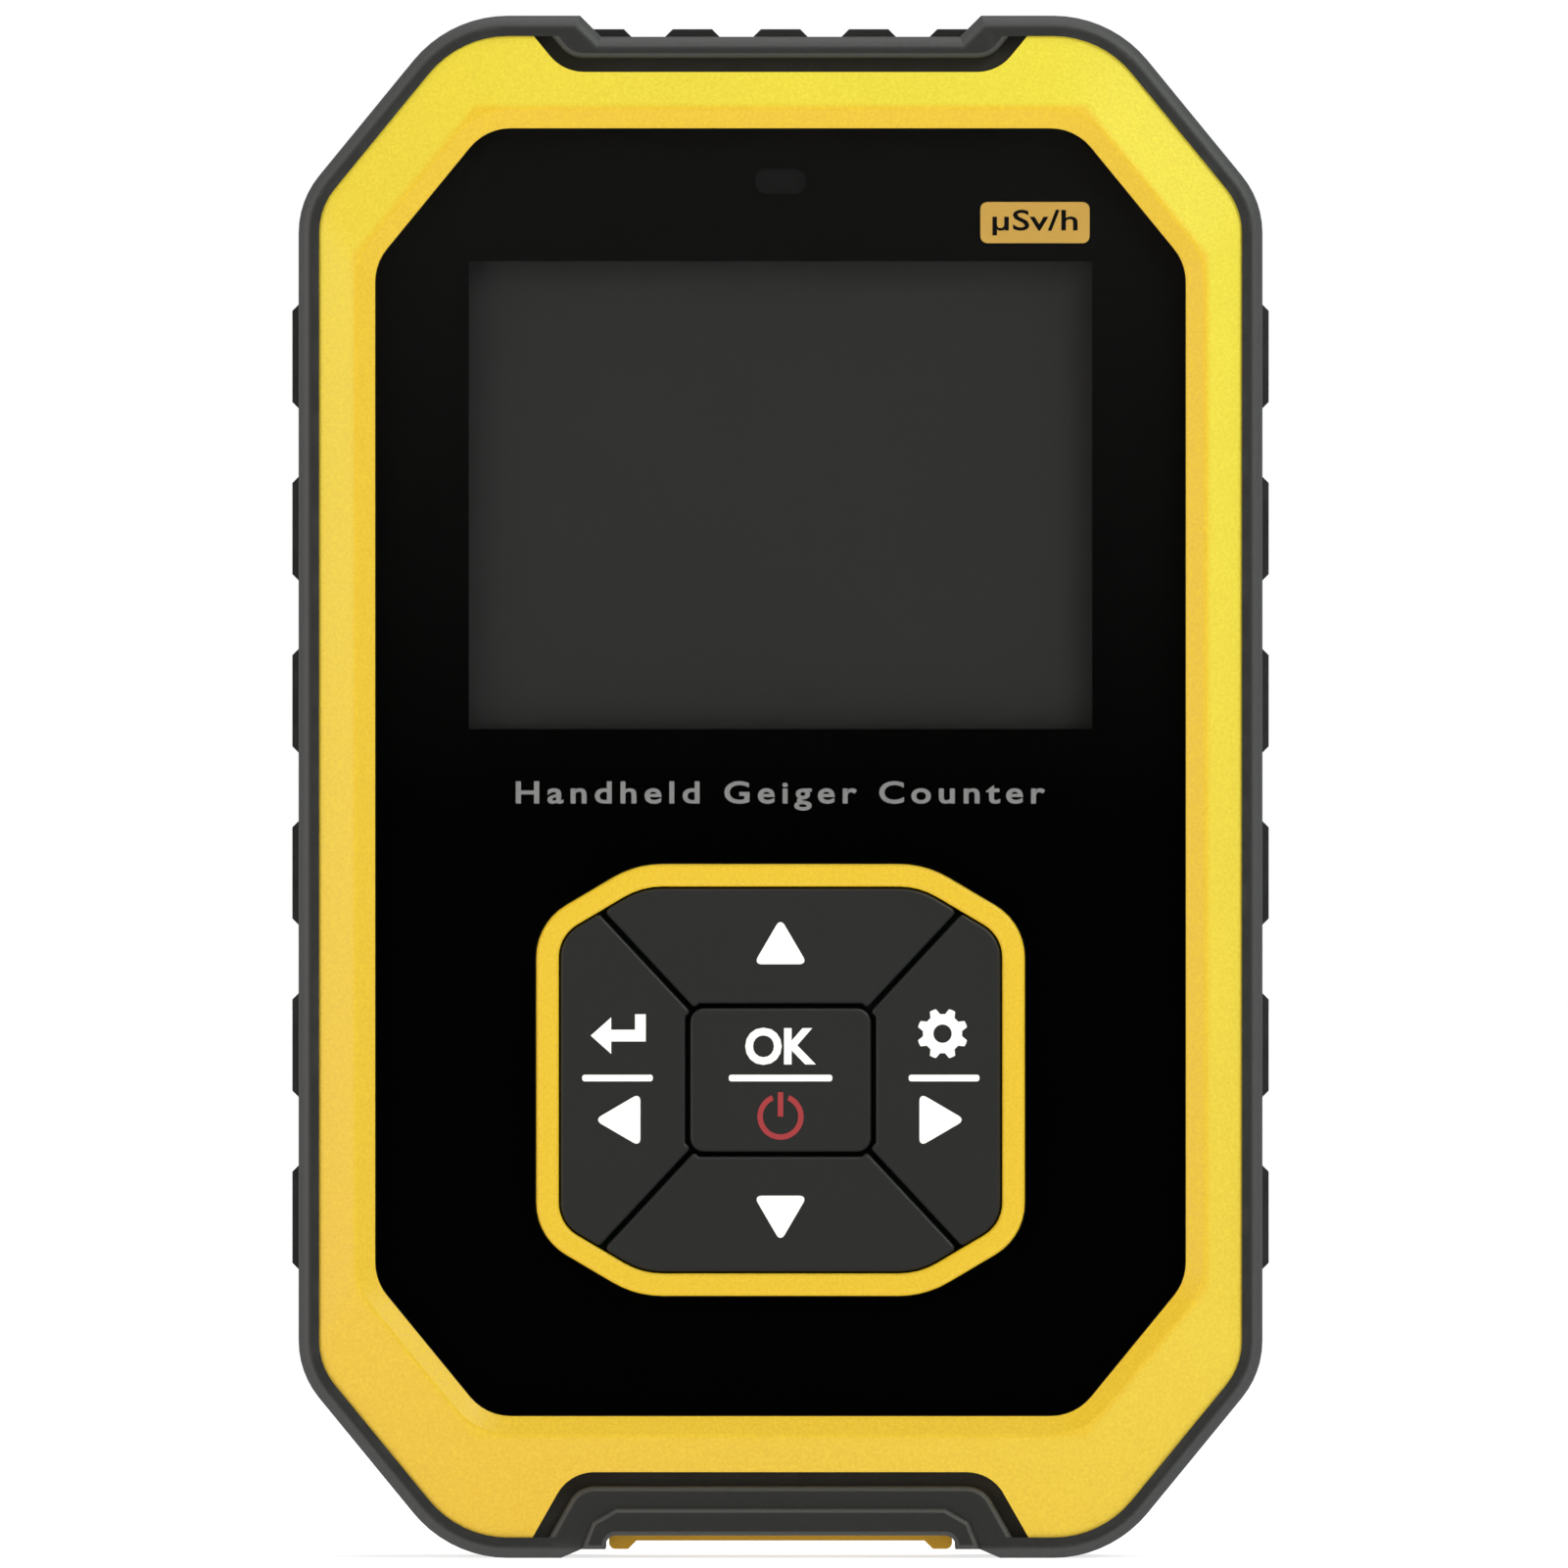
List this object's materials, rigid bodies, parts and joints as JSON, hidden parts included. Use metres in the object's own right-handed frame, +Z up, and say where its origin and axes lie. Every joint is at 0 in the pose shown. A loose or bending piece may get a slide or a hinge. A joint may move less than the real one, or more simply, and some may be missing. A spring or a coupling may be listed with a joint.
{
  "type": "geiger counter",
  "caption": "Handheld radiation meter: framed case with cut corners in a rubber bumper, display window, keypad of sector keys round a middle key, charging socket and a folding kickstand.",
  "frame": {"origin": "Under the middle of the case, on the surface that its bottom edge stands on.", "axes": "+Z up, along the case's length. The display faces -Y. +X is to the right of someone reading the display."},
  "size_m": [0.076, 0.0272, 0.12],
  "materials": {
    "yellow_shell": "moulded, fine spark texture",
    "black_shell": "moulded, fine spark texture",
    "bumper_rubber": "matte overmould",
    "window": "hard-coated, printed black behind, clear over the display",
    "display": "dark liquid crystal cell",
    "backlight": "white frame",
    "key_rubber": "matte silicone",
    "stand_plastic": "moulded, as the front frame",
    "tape": "double-sided tape",
    "foam": "closed-cell foam",
    "ribbon": "polyimide flexible circuit",
    "clear_pipe": "clear moulded",
    "led": "white package",
    "circuit_board": "green solder mask on glass laminate",
    "chip": "moulded package",
    "switch_body": "moulded",
    "plunger": "moulded",
    "connector": "moulded",
    "coil": "ferrite core with winding",
    "buzzer_case": "moulded",
    "plated_steel": "nickel plated",
    "tongue": "moulded, with plated contacts",
    "tube_glass": "glass envelope with a conducting coat",
    "cell_foil": "laminated pouch foil",
    "label": "blank satin plate",
    "lead_red": "wire insulation",
    "lead_black": "wire insulation"
  },
  "bodies": {
    "case": {"front_shell": "yellow_shell", "front_bumper": "bumper_rubber", "rear_shell": "black_shell", "rear_bumper": "bumper_rubber", "front_lens": "window", "lens_tape": "tape", "lcd_panel": "display", "lcd_backlight": "backlight", "lcd_ribbon": "ribbon", "lcd_foam_pads": "foam", "light_pipe": "clear_pipe", "indicator_led": "led", "tact_switches": "switch_body", "main_board": "circuit_board", "controller_chip": "chip", "charger_chip": "chip", "ribbon_socket": "connector", "lead_socket": "connector", "high_voltage_coil": "coil", "buzzer": "buzzer_case", "socket_shell": "plated_steel", "socket_tongue": "tongue", "case_screws": "plated_steel", "board_screws": "plated_steel", "kickstand_pin": "plated_steel", "blank_label": "label", "gm_tube": "tube_glass", "gm_tube_anode": "plated_steel", "gm_tube_cap_low": "plated_steel", "gm_tube_cap_top": "plated_steel", "tube_clips": "plated_steel", "battery": "cell_foil", "battery_tape": "tape", "battery_lead_red": "lead_red", "battery_lead_black": "lead_black"},
    "up_key": {"key_up": "key_rubber", "plunger_up": "plunger"},
    "down_key": {"key_down": "key_rubber", "plunger_down": "plunger"},
    "left_key": {"key_left": "key_rubber", "plunger_left": "plunger"},
    "right_key": {"key_right": "key_rubber", "plunger_right": "plunger"},
    "ok_key": {"key_ok": "key_rubber", "plunger_ok": "plunger"},
    "stand": {"kickstand": "stand_plastic"}
  },
  "joints": [
    {"name": "up_press", "type": "slide", "parent": "case", "child": "up_key", "axis": [0, 1, 0], "range_m": [0, 0.0003], "stiffness_N_per_m": 800},
    {"name": "down_press", "type": "slide", "parent": "case", "child": "down_key", "axis": [0, 1, 0], "range_m": [0, 0.0003], "stiffness_N_per_m": 800},
    {"name": "left_press", "type": "slide", "parent": "case", "child": "left_key", "axis": [0, 1, 0], "range_m": [0, 0.0003], "stiffness_N_per_m": 800},
    {"name": "right_press", "type": "slide", "parent": "case", "child": "right_key", "axis": [0, 1, 0], "range_m": [0, 0.0003], "stiffness_N_per_m": 800},
    {"name": "ok_press", "type": "slide", "parent": "case", "child": "ok_key", "axis": [0, 1, 0], "range_m": [0, 0.0003], "stiffness_N_per_m": 800},
    {"name": "kickstand_hinge", "type": "hinge", "parent": "case", "child": "stand", "pos_m": [0, 0.01105, 0.068], "axis": [1, 0, 0], "range_deg": [0, 65]}
  ]
}
